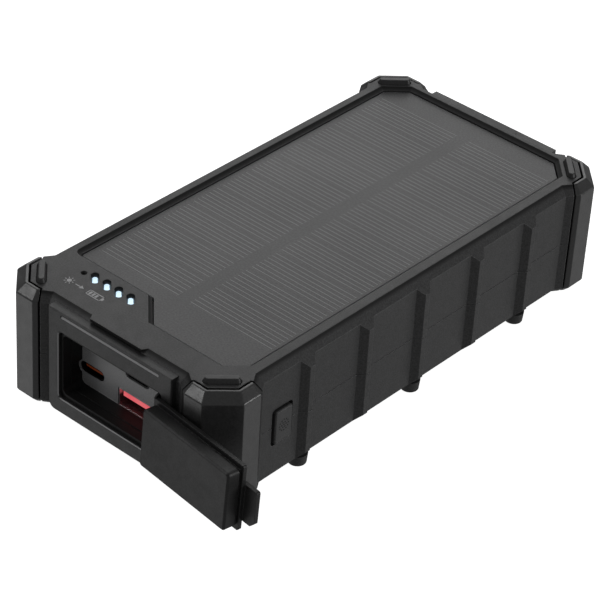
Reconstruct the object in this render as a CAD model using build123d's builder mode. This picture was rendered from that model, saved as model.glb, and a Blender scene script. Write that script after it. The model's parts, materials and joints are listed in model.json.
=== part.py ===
import os
from math import atan2, degrees, hypot, sqrt

from build123d import *

# A rugged solar phone charger. X runs across it, Y along it (the port end is at -Y) and Z up.
# The origin is on the floor, under the middle. The port flap is modelled hanging open.

os.makedirs("parts", exist_ok=True)

SIDES = {"left": -1, "right": 1}
ENDS = {"front": -1, "rear": 1}

# ---------------------------------------------------------------- driving dimensions
# Heights
BASE_Z = 0.8  # underside of the body, standing on its feet
PARTING_Z = 19.3  # joint between the two shells
TOP_Z = 38.7  # top face of the body
# Plan of the body
WALL_X = 40.1  # long side walls
WALL_Y = 80.3  # end walls
FLARE_RISE = 2.6  # how far the corners stand out of the walls
FLARE_RUN = 3.9
FLARE_X = 24.6  # where the end wall starts to flare
FLARE_Y = 64.8  # where the side wall starts to flare
CORNER_CUT = 7.8
BEVEL = 2.5  # bevel round the top and bottom
OUTER_X = WALL_X + FLARE_RISE
OUTER_Y = WALL_Y + FLARE_RISE
# Inside of the shells
CAVITY_X = 37.4
CAVITY_Y = 77.4
CAVITY_CUT = 5.0
FLOOR_Z = 3.0
CEILING_Z = 33.2
# Ribs on the long sides
RIB_COUNT = 5
RIB_PITCH = 23.8
RIB_X = 42.05
RIB_FOOT = 2.85  # half the width at the wall
RIB_CREST = 0.9  # half the width at the crest
# Corner bumpers
BUMPER_THICK = 3.7
BUMPER_GAP = 0.5
SEAM_PLACE = 0.59  # where along the flare the bumper ends
# Seam between the shells
SEAM_DEPTH = 0.3
SEAM_HALF = 0.1
# Bezels and the port bay
BEZEL_HALF = 23.2
BEZEL_LOW = 3.3
BEZEL_HIGH = 37.3
BEZEL_FRONT = 82.0
BEZEL_BACK = 79.2
RIM_HALF = 19.4  # shallow rebate that the flap sits in
RIM_LOW = 8.3
RIM_HIGH = 30.7
RIM_DEPTH = 1.2
BAY_HALF = 18.6
BAY_LOW = 9.6
BAY_HIGH = 29.4
SLEEVE_HALF = 20.3
SLEEVE_LOW = 8.0
SLEEVE_HIGH = 31.0
SLEEVE_BACK = 77.7
PANEL_FACE = 73.5
PANEL_BACK = 71.9
BAY_MID_Z = (BAY_LOW + BAY_HIGH) / 2
FIT = 0.1  # clearance between a piece and its opening
# Solar panel
RECESS_Z = 35.8
RECESS_SLOPE = 1.2  # how far the recess's rim slopes in
RECESS_SLOPE_DEEP = 1.0
PANEL_Z = 37.4  # top of the laminate
PANEL_GAP = 0.4
ADHESIVE = 0.2
BACKING = 1.0
CELL_THICK = 0.2
# Flap
HINGE_X = 18.0
HINGE_Y = -82.6
FLAP_OPEN = 173.2  # degrees from closed to the open rest pose
# Button
BUTTON_Y = -56.8
BUTTON_Z = 18.95
BUTTON_WIDE = 6.7
BUTTON_TALL = 10.8
BUTTON_GAP = 0.7
BUTTON_PROUD = 0.8
BUTTON_EDGE = 0.35


def four_way(points):
    """The closed outline that has these points in its first quadrant and is alike in all four."""
    back = points[::-1]
    first = list(points)
    fourth = [(x, -y) for x, y in back]
    third = [(-x, -y) for x, y in points]
    second = [(-x, y) for x, y in back]
    return first + fourth + third + second


def face_of(points):
    """A sketch of the closed polygon through these points."""
    with BuildSketch() as sketch:
        with BuildLine():
            Polyline(*points, close=True)
        make_face()
    return sketch.sketch


# ---------------------------------------------------------------- the body's outer form
OUTLINE = four_way(
    [
        (FLARE_X, WALL_Y),
        (FLARE_X + FLARE_RUN, OUTER_Y),
        (OUTER_X - CORNER_CUT, OUTER_Y),
        (OUTER_X, OUTER_Y - CORNER_CUT),
        (OUTER_X, FLARE_Y + FLARE_RUN),
        (WALL_X, FLARE_Y),
    ]
)
CAVITY = four_way([(CAVITY_X - CAVITY_CUT, CAVITY_Y), (CAVITY_X, CAVITY_Y - CAVITY_CUT)])
RIB_YS = [(k - (RIB_COUNT - 1) / 2) * RIB_PITCH for k in range(RIB_COUNT)]
RIB_ROOT_X = WALL_X - 1.0

with BuildPart() as hull:
    with BuildSketch(Plane.XY.offset(BASE_Z)):
        add(face_of(OUTLINE))
    extrude(amount=TOP_Z - BASE_Z)
    rims = hull.faces().sort_by(Axis.Z)
    chamfer(rims[0].edges() + rims[-1].edges(), BEVEL)

# The ribs are cut by the same sloping planes as the bevel, carried on down and out.
RIB_PLAN = [
    (RIB_ROOT_X, -RIB_FOOT),
    (WALL_X, -RIB_FOOT),
    (RIB_X, -RIB_CREST),
    (RIB_X, RIB_CREST),
    (WALL_X, RIB_FOOT),
    (RIB_ROOT_X, RIB_FOOT),
]
RIB_LIMITS = four_way(
    [(WALL_X - BEVEL, (TOP_Z - BASE_Z) / 2), (RIB_X, (TOP_Z - BASE_Z) / 2 - (RIB_X - WALL_X + BEVEL))]
)
with BuildPart() as ribs:
    with BuildSketch(Plane.XY.offset(BASE_Z)):
        for side in SIDES.values():
            for y in RIB_YS:
                add(face_of([(side * a, y + b) for a, b in RIB_PLAN]))
    extrude(amount=TOP_Z - BASE_Z)
    with BuildSketch(Plane.XZ):
        with Locations((0, (TOP_Z + BASE_Z) / 2)):
            add(face_of(RIB_LIMITS))
    extrude(amount=OUTER_Y, both=True, mode=Mode.INTERSECT)

# ---------------------------------------------------------------- where the bumpers part from the shells
flare_length = hypot(FLARE_RUN, FLARE_RISE)
seam_run = FLARE_RUN / flare_length
seam_rise = FLARE_RISE / flare_length
SEAM_REACH = 4.0
FAR = 20.0


def corner_zone(side, end, grow):
    """Plan of the ground that one corner's bumper takes up, grown or shrunk towards the shells."""
    inner_x = OUTER_X - BUMPER_THICK - grow
    inner_y = OUTER_Y - BUMPER_THICK - grow
    diagonal = OUTER_X + OUTER_Y - CORNER_CUT - (BUMPER_THICK + grow) * sqrt(2)
    end_x = FLARE_X + SEAM_PLACE * FLARE_RUN - grow * seam_run
    end_y = WALL_Y + SEAM_PLACE * FLARE_RISE - grow * seam_rise
    side_x = WALL_X + SEAM_PLACE * FLARE_RISE - grow * seam_rise
    side_y = FLARE_Y + SEAM_PLACE * FLARE_RUN - grow * seam_run
    slope = seam_rise / seam_run
    points = [
        (end_x - SEAM_REACH * seam_rise, end_y + SEAM_REACH * seam_run),
        (end_x + (end_y - inner_y) * slope, inner_y),
        (diagonal - inner_y, inner_y),
        (inner_x, diagonal - inner_x),
        (inner_x, side_y + (side_x - inner_x) * slope),
        (side_x + SEAM_REACH * seam_run, side_y - SEAM_REACH * seam_rise),
        (OUTER_X + FAR, OUTER_Y + FAR),
    ]
    return face_of([(side * x, end * y) for x, y in points])


for end_name, end in ENDS.items():
    for side_name, side in SIDES.items():
        with BuildPart() as bumper:
            add(hull.part)
            with BuildSketch():
                add(corner_zone(side, end, -BUMPER_GAP / 2))
            extrude(amount=TOP_Z, mode=Mode.INTERSECT)
        bumper.part.label = f"bumper_{end_name}_{side_name}"
        export_step(bumper.part, f"parts/bumper_{end_name}_{side_name}.step")

# ---------------------------------------------------------------- openings that both shells share
with BuildPart() as end_openings:
    with BuildSketch(Plane.XZ):
        with Locations((0, (SLEEVE_LOW + SLEEVE_HIGH) / 2)):
            Rectangle(2 * SLEEVE_HALF + 2 * FIT, SLEEVE_HIGH - SLEEVE_LOW + 2 * FIT)
    extrude(amount=OUTER_Y, both=True)

with BuildPart() as button_opening:
    with BuildSketch(Plane.YZ.offset(CAVITY_X - 1)) as button_hole:
        with Locations((BUTTON_Y, BUTTON_Z)):
            RectangleRounded(BUTTON_WIDE + 2 * BUTTON_GAP, BUTTON_TALL + 2 * BUTTON_GAP, 1.2)
    extrude(amount=6)

# The seam is a fine groove round the joint of the shells.
with BuildPart() as seam_groove:
    with BuildSketch(Plane.XY.offset(PARTING_Z - SEAM_HALF)):
        Rectangle(2 * OUTER_X + 10, 2 * OUTER_Y + 10)
        with BuildSketch(mode=Mode.PRIVATE) as kept:
            add(face_of(OUTLINE))
            for side in SIDES.values():
                for y in RIB_YS:
                    add(face_of([(side * a, y + b) for a, b in RIB_PLAN]))
            offset(amount=-SEAM_DEPTH, kind=Kind.INTERSECTION)
        add(kept.sketch, mode=Mode.SUBTRACT)
    extrude(amount=2 * SEAM_HALF)

# ---------------------------------------------------------------- seal between the shells
SEAL_IN = 0.35
SEAL_WIDE = 0.8
SEAL_HALF = 0.4
with BuildPart() as seal_ring:
    with BuildSketch(Plane.XY.offset(PARTING_Z - SEAL_HALF)):
        add(offset(face_of(CAVITY), amount=SEAL_IN + SEAL_WIDE, kind=Kind.INTERSECTION, mode=Mode.PRIVATE))
        inner = offset(face_of(CAVITY), amount=SEAL_IN, kind=Kind.INTERSECTION, mode=Mode.PRIVATE)
        add(inner, mode=Mode.SUBTRACT)
    extrude(amount=2 * SEAL_HALF)
    with BuildSketch(Plane.XY.offset(PARTING_Z - SEAL_HALF)):
        Rectangle(2 * SLEEVE_HALF + 3, 2 * OUTER_Y)
        with Locations((CAVITY_X, BUTTON_Y)):
            Rectangle(8, BUTTON_WIDE + 4)
    extrude(amount=2 * SEAL_HALF, mode=Mode.SUBTRACT)
seal_ring.part.label = "shell_seal"
export_step(seal_ring.part, "parts/shell_seal.step")

# ---------------------------------------------------------------- screws and their bosses
SCREW_PLACES = [(side * 34.0, end * 72.3) for side in SIDES.values() for end in ENDS.values()]
BOSS_R = 2.7
SCREW_HEAD_R = 2.0
SCREW_HEAD_Z = 11.0
SCREW_HEAD_TALL = 1.6
SCREW_R = 1.0
SCREW_TIP_Z = 27.0
SCREW_CLEAR_R = 1.15
SCREW_PILOT_R = 1.05
COUNTERBORE_R = 2.3

with BuildPart() as screws:
    with BuildSketch(Plane.XY.offset(SCREW_HEAD_Z)):
        with Locations(*SCREW_PLACES):
            Circle(SCREW_HEAD_R)
    extrude(amount=-SCREW_HEAD_TALL)
    with BuildSketch(Plane.XY.offset(SCREW_HEAD_Z)):
        with Locations(*SCREW_PLACES):
            Circle(SCREW_R)
    extrude(amount=SCREW_TIP_Z - SCREW_HEAD_Z)
    with BuildSketch(Plane.XY.offset(SCREW_HEAD_Z - SCREW_HEAD_TALL)):
        with Locations(*SCREW_PLACES):
            Rectangle(2.4, 0.5)
            Rectangle(0.5, 2.4)
    extrude(amount=0.8, mode=Mode.SUBTRACT)
screws.part.label = "shell_screws"
export_step(screws.part, "parts/shell_screws.step")

# ---------------------------------------------------------------- top shell
RECESS_LEFT = -35.4
RECESS_RIGHT = 34.8
RECESS_REAR = 76.4
RECESS_FRONT = -69.6
RECESS_STEP = -60.7  # the front edge beside the charge lights
RECESS_STEP_X = -6.6
RECESS_CUT = 6.6
RECESS_NEAR_CUT = 6.0
RECESS_OUTLINE = [
    (RECESS_LEFT, RECESS_STEP),
    (RECESS_STEP_X, RECESS_STEP),
    (RECESS_STEP_X + RECESS_STEP - RECESS_FRONT, RECESS_FRONT),
    (RECESS_RIGHT - RECESS_NEAR_CUT, RECESS_FRONT),
    (RECESS_RIGHT, RECESS_FRONT + RECESS_NEAR_CUT),
    (RECESS_RIGHT, RECESS_REAR - RECESS_CUT),
    (RECESS_RIGHT - RECESS_CUT, RECESS_REAR),
    (RECESS_LEFT + RECESS_CUT, RECESS_REAR),
    (RECESS_LEFT, RECESS_REAR - RECESS_CUT),
]
RECESS_ROUND = 2.2

with BuildSketch() as recess_plan:
    add(face_of(RECESS_OUTLINE))
    fillet(recess_plan.vertices().sort_by(Axis.X)[:2].sort_by(Axis.Y)[0], RECESS_ROUND)
inner_plan = offset(recess_plan.sketch, amount=-RECESS_SLOPE, kind=Kind.INTERSECTION, mode=Mode.PRIVATE)
panel_plan = offset(inner_plan, amount=-PANEL_GAP, kind=Kind.INTERSECTION, mode=Mode.PRIVATE)

TAB_TIP = 9.6
TAB_ROOT = 11.2
TAB_Y = 79.5
TAB_THICK = 0.9
TAB_BACK = WALL_Y - BEVEL - 1
TAB_PLAN = [(-TAB_ROOT, TAB_BACK), (-TAB_TIP, TAB_Y), (TAB_TIP, TAB_Y), (TAB_ROOT, TAB_BACK)]
NOTCH_HALF = 9.2
NOTCH_HIGH = TOP_Z - TAB_THICK
NOTCH_LOW = 35.6
NOTCH_BACK = 77.9

LIGHT_COUNT = 4
LIGHT_PITCH = 4.58
LIGHT_X = -22.3
LIGHT_Y = -65.3
LIGHT_SPOTS = [(LIGHT_X + k * LIGHT_PITCH, LIGHT_Y) for k in range(LIGHT_COUNT)]
LIGHT_ANGLE = -45
LIGHT_LONG = 4.25
LIGHT_WIDE = 1.5
LIGHT_FLARE = 0.45
LIGHT_SUNK = 1.2
SPOT_X = -26.1
SPOT_Y = -65.8
SPOT_R = 0.5
SPOT_RIM_R = 1.0
ROOF_Z = 36.5  # inner face of the shell over the status board
ROOF_POCKET = (-31.0, -74.0, -5.6, -62.6)
ROOF_POSTS = [(-29.0, -71.8), (-7.6, -71.8)]
ROOF_POST_R = 1.2
STATUS_BOARD = (-30.6, -73.6, -6.0, -63.0)
STATUS_Z = 33.7
STATUS_THICK = 1.0

PAD_X = 33.9
PAD_Y = 74.2
PAD_LONG = 10.1
PAD_WIDE = 2.6
PAD_HIGH = 1.4
PAD_SLOPE = 0.5
PAD_SUNK = 1.0
PAD_GAP = 0.12
LEAD_SLOT = (25.0, -50.0, 4.0, 2.0)

recess_lean = degrees(atan2(RECESS_SLOPE, RECESS_SLOPE_DEEP))
pad_lean = degrees(atan2(PAD_SLOPE, PAD_HIGH))
with BuildPart() as top_shell:
    add(hull.part)
    add(ribs.part)
    split(bisect_by=Plane.XY.offset(PARTING_Z), keep=Keep.TOP)
    with BuildSketch(Plane.XY.offset(PARTING_Z)):
        for side in SIDES.values():
            for end in ENDS.values():
                add(corner_zone(side, end, BUMPER_GAP / 2))
    extrude(amount=TOP_Z, mode=Mode.SUBTRACT)
    with BuildSketch(Plane.XY.offset(PARTING_Z)):
        add(face_of(CAVITY))
    extrude(amount=CEILING_Z - PARTING_Z, mode=Mode.SUBTRACT)
    with BuildSketch(Plane.XY.offset(TOP_Z)):
        add(recess_plan.sketch)
    extrude(amount=-RECESS_SLOPE_DEEP, taper=recess_lean, mode=Mode.SUBTRACT)
    with BuildSketch(Plane.XY.offset(TOP_Z)):
        add(inner_plan)
    extrude(amount=RECESS_Z - TOP_Z, mode=Mode.SUBTRACT)
    # centre tabs with a shadow notch under each
    with BuildSketch(Plane.XY.offset(TOP_Z)):
        for end in ENDS.values():
            add(face_of([(x, end * y) for x, y in TAB_PLAN]))
    extrude(amount=-TAB_THICK)
    with BuildSketch(Plane.XY.offset(NOTCH_LOW)):
        for end in ENDS.values():
            with Locations((0, end * (NOTCH_BACK + OUTER_Y) / 2)):
                Rectangle(2 * NOTCH_HALF, OUTER_Y - NOTCH_BACK)
    extrude(amount=NOTCH_HIGH - NOTCH_LOW, mode=Mode.SUBTRACT)
    # bosses
    with BuildSketch(Plane.XY.offset(PARTING_Z)):
        with Locations(*SCREW_PLACES):
            Circle(BOSS_R)
    extrude(amount=CEILING_Z - PARTING_Z)
    with BuildSketch(Plane.XY.offset(PARTING_Z)):
        with Locations(*SCREW_PLACES):
            Circle(SCREW_PILOT_R)
    extrude(amount=SCREW_TIP_Z + 1 - PARTING_Z, mode=Mode.SUBTRACT)
    # pocket over the status board, light windows and the indicator hole
    low_x, low_y, high_x, high_y = ROOF_POCKET
    with BuildSketch(Plane.XY.offset(CEILING_Z)):
        with Locations(((low_x + high_x) / 2, (low_y + high_y) / 2)):
            Rectangle(high_x - low_x, high_y - low_y)
    extrude(amount=ROOF_Z - CEILING_Z, mode=Mode.SUBTRACT)
    with BuildSketch(Plane.XY.offset(STATUS_Z + STATUS_THICK)):
        with Locations(*ROOF_POSTS):
            Circle(ROOF_POST_R)
    extrude(amount=ROOF_Z - STATUS_Z - STATUS_THICK)
    with BuildSketch(Plane.XY.offset(TOP_Z)):
        with Locations(*LIGHT_SPOTS):
            SlotOverall(LIGHT_LONG, LIGHT_WIDE, rotation=LIGHT_ANGLE)
        with Locations((SPOT_X, SPOT_Y)):
            Circle(SPOT_R)
    extrude(amount=ROOF_Z - TOP_Z, mode=Mode.SUBTRACT)
    with BuildSketch(Plane.XY.offset(TOP_Z)):
        with Locations(*LIGHT_SPOTS):
            SlotOverall(LIGHT_LONG + 2 * LIGHT_FLARE, LIGHT_WIDE + 2 * LIGHT_FLARE, rotation=LIGHT_ANGLE)
    extrude(amount=-LIGHT_SUNK, taper=degrees(atan2(LIGHT_FLARE, LIGHT_SUNK)), mode=Mode.SUBTRACT)
    with BuildSketch(Plane.XY.offset(TOP_Z)):
        with Locations((SPOT_X, SPOT_Y)):
            Circle(SPOT_RIM_R)
    extrude(amount=SPOT_R - SPOT_RIM_R, taper=45, mode=Mode.SUBTRACT)
    # slot for the panel's lead, and the pads' pockets
    with BuildSketch(Plane.XY.offset(CEILING_Z)):
        with Locations(LEAD_SLOT[:2]):
            Rectangle(*LEAD_SLOT[2:])
    extrude(amount=RECESS_Z - CEILING_Z, mode=Mode.SUBTRACT)
    with BuildSketch(Plane.XY.offset(TOP_Z)):
        for side in SIDES.values():
            for end in ENDS.values():
                with Locations((side * PAD_X, end * PAD_Y)):
                    SlotOverall(PAD_LONG + 2 * PAD_GAP, PAD_WIDE + 2 * PAD_GAP, rotation=-45 * side * end)
    extrude(amount=-PAD_SUNK, mode=Mode.SUBTRACT)
    add(end_openings.part, mode=Mode.SUBTRACT)
    add(button_opening.part, mode=Mode.SUBTRACT)
    add(seam_groove.part, mode=Mode.SUBTRACT)
    add(seal_ring.part, mode=Mode.SUBTRACT)
top_shell.part.label = "top_shell"
export_step(top_shell.part, "parts/top_shell.step")

# ---------------------------------------------------------------- bottom shell
BOARD_Z = 8.0  # underside of the main board
POSTS = [(-27.0, -55.5), (27.0, -55.5), (-27.0, -44.5), (27.0, -44.5)]
POST_R = 2.0
BUTTON_POST = (30.75, BUTTON_Y, 2.5, 9.0)
LABEL_FIELD = (52.0, 90.0, 3.0)
LABEL_SUNK = 0.15

with BuildPart() as bottom_shell:
    add(hull.part)
    add(ribs.part)
    split(bisect_by=Plane.XY.offset(PARTING_Z), keep=Keep.BOTTOM)
    with BuildSketch(Plane.XY.offset(PARTING_Z)):
        for side in SIDES.values():
            for end in ENDS.values():
                add(corner_zone(side, end, BUMPER_GAP / 2))
    extrude(amount=-PARTING_Z, mode=Mode.SUBTRACT)
    with BuildSketch(Plane.XY.offset(FLOOR_Z)):
        add(face_of(CAVITY))
    extrude(amount=PARTING_Z - FLOOR_Z, mode=Mode.SUBTRACT)
    with BuildSketch(Plane.XY.offset(FLOOR_Z)):
        with Locations(*SCREW_PLACES):
            Circle(BOSS_R)
    extrude(amount=PARTING_Z - FLOOR_Z)
    with BuildSketch(Plane.XY.offset(FLOOR_Z)):
        with Locations(*POSTS):
            Circle(POST_R)
    extrude(amount=BOARD_Z - FLOOR_Z)
    with BuildSketch(Plane.XY.offset(FLOOR_Z)):
        with Locations(BUTTON_POST[:2]):
            Rectangle(*BUTTON_POST[2:])
    extrude(amount=BOARD_Z)
    with BuildSketch(Plane.XY.offset(BASE_Z)):
        with Locations(*SCREW_PLACES):
            Circle(SCREW_CLEAR_R)
    extrude(amount=PARTING_Z - BASE_Z, mode=Mode.SUBTRACT)
    with BuildSketch(Plane.XY.offset(BASE_Z)):
        with Locations(*SCREW_PLACES):
            Circle(COUNTERBORE_R)
    extrude(amount=SCREW_HEAD_Z - BASE_Z, mode=Mode.SUBTRACT)
    with BuildSketch(Plane.XY.offset(BASE_Z)):
        RectangleRounded(*LABEL_FIELD)
    extrude(amount=LABEL_SUNK, mode=Mode.SUBTRACT)
    add(end_openings.part, mode=Mode.SUBTRACT)
    add(button_opening.part, mode=Mode.SUBTRACT)
    add(seam_groove.part, mode=Mode.SUBTRACT)
    add(seal_ring.part, mode=Mode.SUBTRACT)
bottom_shell.part.label = "bottom_shell"
export_step(bottom_shell.part, "parts/bottom_shell.step")

# ---------------------------------------------------------------- corner pads
for end_name, end in ENDS.items():
    for side_name, side in SIDES.items():
        with BuildPart() as pad:
            with BuildSketch(Plane.XY.offset(TOP_Z)):
                with Locations((side * PAD_X, end * PAD_Y)):
                    SlotOverall(PAD_LONG, PAD_WIDE, rotation=-45 * side * end)
            extrude(amount=-PAD_SUNK)
            extrude(pad.faces().sort_by(Axis.Z)[-1], amount=PAD_HIGH, taper=pad_lean)
        pad.part.label = f"pad_{end_name}_{side_name}"
        export_step(pad.part, f"parts/pad_{end_name}_{side_name}.step")

# ---------------------------------------------------------------- feet
FOOT_X = 38.5
FOOT_R = 2.65
FOOT_TOP_R = 2.95
FOOT_TALL = 3.3
FOOT_NAMES = {"front": -2 * RIB_PITCH, "middle": 0.0, "rear": 2 * RIB_PITCH}

for place_name, foot_y in FOOT_NAMES.items():
    for side_name, side in SIDES.items():
        with BuildPart() as foot:
            with BuildSketch():
                with Locations((side * FOOT_X, foot_y)):
                    Circle(FOOT_R)
            with BuildSketch(Plane.XY.offset(FOOT_TALL)):
                with Locations((side * FOOT_X, foot_y)):
                    Circle(FOOT_TOP_R)
            loft()
            add(hull.part, mode=Mode.SUBTRACT)
            add(ribs.part, mode=Mode.SUBTRACT)
            fillet(foot.faces().sort_by(Axis.Z)[0].edges(), 0.35)
        foot.part.label = f"foot_{place_name}_{side_name}"
        export_step(foot.part, f"parts/foot_{place_name}_{side_name}.step")

# ---------------------------------------------------------------- bezels
GROOVE_HALF = 18.4
GROOVE_LOW = 35.55
GROOVE_HIGH = 36.4
GROOVE_DEPTH = 0.6
GROOVE_SECTION = [
    (-BEZEL_FRONT, GROOVE_LOW),
    (GROOVE_DEPTH - BEZEL_FRONT, GROOVE_LOW + GROOVE_DEPTH),
    (GROOVE_DEPTH - BEZEL_FRONT, GROOVE_HIGH),
    (-BEZEL_FRONT, GROOVE_HIGH),
]
BEZEL_EDGE = 0.3
BEZEL_ROUND = 2.4
RIM_ROUND = 1.6
RIM_EDGE = 0.3
rim_tall = RIM_HIGH - RIM_LOW

with BuildPart() as front_bezel:
    with BuildSketch(Plane.XZ.offset(BEZEL_BACK)) as frame_plan:
        with Locations((0, (BEZEL_LOW + BEZEL_HIGH) / 2)):
            Rectangle(2 * BEZEL_HALF, BEZEL_HIGH - BEZEL_LOW)
        fillet(frame_plan.vertices().group_by(Axis.Y)[0], BEZEL_ROUND)
    extrude(amount=BEZEL_FRONT - BEZEL_BACK)
    chamfer(front_bezel.faces().sort_by(Axis.Y)[0].edges(), BEZEL_EDGE)
    add(hull.part, mode=Mode.SUBTRACT)
    with BuildSketch(Plane.XZ.offset(SLEEVE_BACK)):
        with Locations((0, (SLEEVE_LOW + SLEEVE_HIGH) / 2)):
            Rectangle(2 * SLEEVE_HALF, SLEEVE_HIGH - SLEEVE_LOW)
    extrude(amount=BEZEL_FRONT - RIM_DEPTH - SLEEVE_BACK)
    with BuildSketch(Plane.XZ.offset(SLEEVE_BACK)):
        with Locations((0, BAY_MID_Z)):
            RectangleRounded(2 * BAY_HALF, BAY_HIGH - BAY_LOW, RIM_ROUND)
    extrude(amount=BEZEL_FRONT - SLEEVE_BACK, mode=Mode.SUBTRACT)
    with BuildSketch(Plane.XZ.offset(BEZEL_FRONT - RIM_DEPTH)):
        with Locations((0, (RIM_LOW + RIM_HIGH) / 2)):
            RectangleRounded(2 * RIM_HALF, rim_tall, RIM_ROUND)
    extrude(amount=RIM_DEPTH, mode=Mode.SUBTRACT)
    with BuildSketch(Plane.XZ.offset(BEZEL_FRONT)):
        with Locations((0, (RIM_LOW + RIM_HIGH) / 2)):
            RectangleRounded(2 * RIM_HALF + 2 * RIM_EDGE, rim_tall + 2 * RIM_EDGE, RIM_ROUND)
    extrude(amount=-RIM_EDGE, taper=45, mode=Mode.SUBTRACT)
    # groove under the top edge, with a sloping lower side
    with BuildSketch(Plane.YZ):
        add(face_of(GROOVE_SECTION))
    extrude(amount=GROOVE_HALF, both=True, mode=Mode.SUBTRACT)
front_bezel.part.label = "front_bezel"
export_step(front_bezel.part, "parts/front_bezel.step")

with BuildPart() as rear_bezel:
    mirror(front_bezel.part, about=Plane.XZ)
rear_bezel.part.label = "rear_bezel"
export_step(rear_bezel.part, "parts/rear_bezel.step")

# ---------------------------------------------------------------- port panel and ports
OVAL_HOLE = (9.3, 3.5)
OVAL_SHELL = (9.0, 3.2)
OVAL_MOUTH = (8.4, 2.6)
OVAL_TONGUE = (6.7, 0.7)
OVAL_PORTS = {"lower": (-14.7, 15.35), "upper": (2.55, 22.2)}
WIDE_PORT = (2.05, 12.45)
WIDE_HOLE = (13.5, 6.2)
WIDE_SHELL = (13.2, 5.9)
WIDE_MOUTH = (12.6, 5.3)
WIDE_TONGUE = (11.2, 2.1)
WIDE_TONGUE_RISE = 1.2
RELIEF = (10.2, 5.0)
PORT_BOARD_Y = 60.0
PORT_FRONT = PANEL_FACE - 0.15
TONGUE_FRONT = PANEL_FACE - 1.0

with BuildPart() as port_panel:
    with BuildSketch(Plane.XZ.offset(PANEL_BACK)):
        with Locations((0, (SLEEVE_LOW + SLEEVE_HIGH) / 2)):
            Rectangle(2 * SLEEVE_HALF, SLEEVE_HIGH - SLEEVE_LOW)
    extrude(amount=SLEEVE_BACK - PANEL_BACK)
    with BuildSketch(Plane.XZ.offset(PANEL_FACE)):
        with Locations((0, BAY_MID_Z)):
            RectangleRounded(2 * BAY_HALF - 0.3, BAY_HIGH - BAY_LOW - 0.3, RIM_ROUND)
        with Locations(OVAL_PORTS["lower"]):
            SlotOverall(*RELIEF)
    extrude(amount=SLEEVE_BACK - PANEL_FACE, mode=Mode.SUBTRACT)
    with BuildSketch(Plane.XZ.offset(PANEL_BACK)):
        with Locations(*OVAL_PORTS.values()):
            SlotOverall(*OVAL_HOLE)
        with Locations(WIDE_PORT):
            RectangleRounded(*WIDE_HOLE, 0.4)
    extrude(amount=PANEL_FACE - PANEL_BACK, mode=Mode.SUBTRACT)
port_panel.part.label = "port_panel"
export_step(port_panel.part, "parts/port_panel.step")

for port_name, place in OVAL_PORTS.items():
    with BuildPart() as oval_shell:
        with BuildSketch(Plane.XZ.offset(PORT_BOARD_Y)):
            with Locations(place):
                SlotOverall(*OVAL_SHELL)
        extrude(amount=PORT_FRONT - PORT_BOARD_Y)
        with BuildSketch(Plane.XZ.offset(PORT_BOARD_Y + 5)):
            with Locations(place):
                SlotOverall(*OVAL_MOUTH)
        extrude(amount=PORT_FRONT, mode=Mode.SUBTRACT)
    oval_shell.part.label = f"oval_port_shell_{port_name}"
    export_step(oval_shell.part, f"parts/oval_port_shell_{port_name}.step")
    with BuildPart() as oval_tongue:
        with BuildSketch(Plane.XZ.offset(PORT_BOARD_Y + 5)):
            with Locations(place):
                SlotOverall(OVAL_MOUTH[0] - 0.1, OVAL_MOUTH[1] - 0.1)
        extrude(amount=2)
        with BuildSketch(Plane.XZ.offset(PORT_BOARD_Y + 7)):
            with Locations(place):
                Rectangle(*OVAL_TONGUE)
        extrude(amount=TONGUE_FRONT - PORT_BOARD_Y - 7)
    oval_tongue.part.label = f"oval_port_tongue_{port_name}"
    export_step(oval_tongue.part, f"parts/oval_port_tongue_{port_name}.step")

with BuildPart() as wide_shell:
    with BuildSketch(Plane.XZ.offset(PORT_BOARD_Y)):
        with Locations(WIDE_PORT):
            RectangleRounded(*WIDE_SHELL, 0.4)
    extrude(amount=PORT_FRONT - PORT_BOARD_Y)
    with BuildSketch(Plane.XZ.offset(PORT_BOARD_Y + 1)):
        with Locations(WIDE_PORT):
            Rectangle(*WIDE_MOUTH)
    extrude(amount=PORT_FRONT, mode=Mode.SUBTRACT)
wide_shell.part.label = "wide_port_shell"
export_step(wide_shell.part, "parts/wide_port_shell.step")

with BuildPart() as wide_insert:
    with BuildSketch(Plane.XZ.offset(PORT_BOARD_Y + 1)):
        with Locations(WIDE_PORT):
            Rectangle(WIDE_MOUTH[0] - 0.1, WIDE_MOUTH[1] - 0.1)
    extrude(amount=2)
    with BuildSketch(Plane.XZ.offset(PORT_BOARD_Y + 3)):
        with Locations((WIDE_PORT[0], WIDE_PORT[1] + WIDE_TONGUE_RISE)):
            Rectangle(*WIDE_TONGUE)
    extrude(amount=TONGUE_FRONT - PORT_BOARD_Y - 3)
wide_insert.part.label = "wide_port_insert"
export_step(wide_insert.part, "parts/wide_port_insert.step")

# ---------------------------------------------------------------- port flap, modelled hanging open
# On the flap's own plane X runs from the hinge to the tip and Z points out of its inner side.
HINGE_LEAN = 0.029  # the folding line leans back by this much for each unit of height
hinge = Axis((HINGE_X, HINGE_Y, BAY_MID_Z), (0, HINGE_LEAN, 1))
flap_plane = Plane(
    origin=hinge.position,
    x_dir=Vector(-1, 0, 0).rotate(hinge, FLAP_OPEN),
    z_dir=Vector(0, 1, 0).rotate(hinge, FLAP_OPEN),
)
FLANGE_FROM = 0.6
FLANGE_TO = 36.9
FLANGE_TALL = 20.6
FLANGE_THICK = 1.2
PLUG_FROM = 1.3
PLUG_TO = 36.3
PLUG_TALL = 18.4
PLUG_DEEP = 4.5
FLAP_MID = -0.3  # the flange and plug are this far above the folding line's middle
NECK = 0.7  # the plug's narrow root
NECK_IN = 0.45
PLUG_EDGE = 0.55
GRIP = [(33.0, 3.8), (41.4, 3.8), (41.4, -6.2), (39.9, -7.7), (33.0, -7.7)]  # pull tab, on the flap's plane
GRIP_THICK = 1.3

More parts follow.
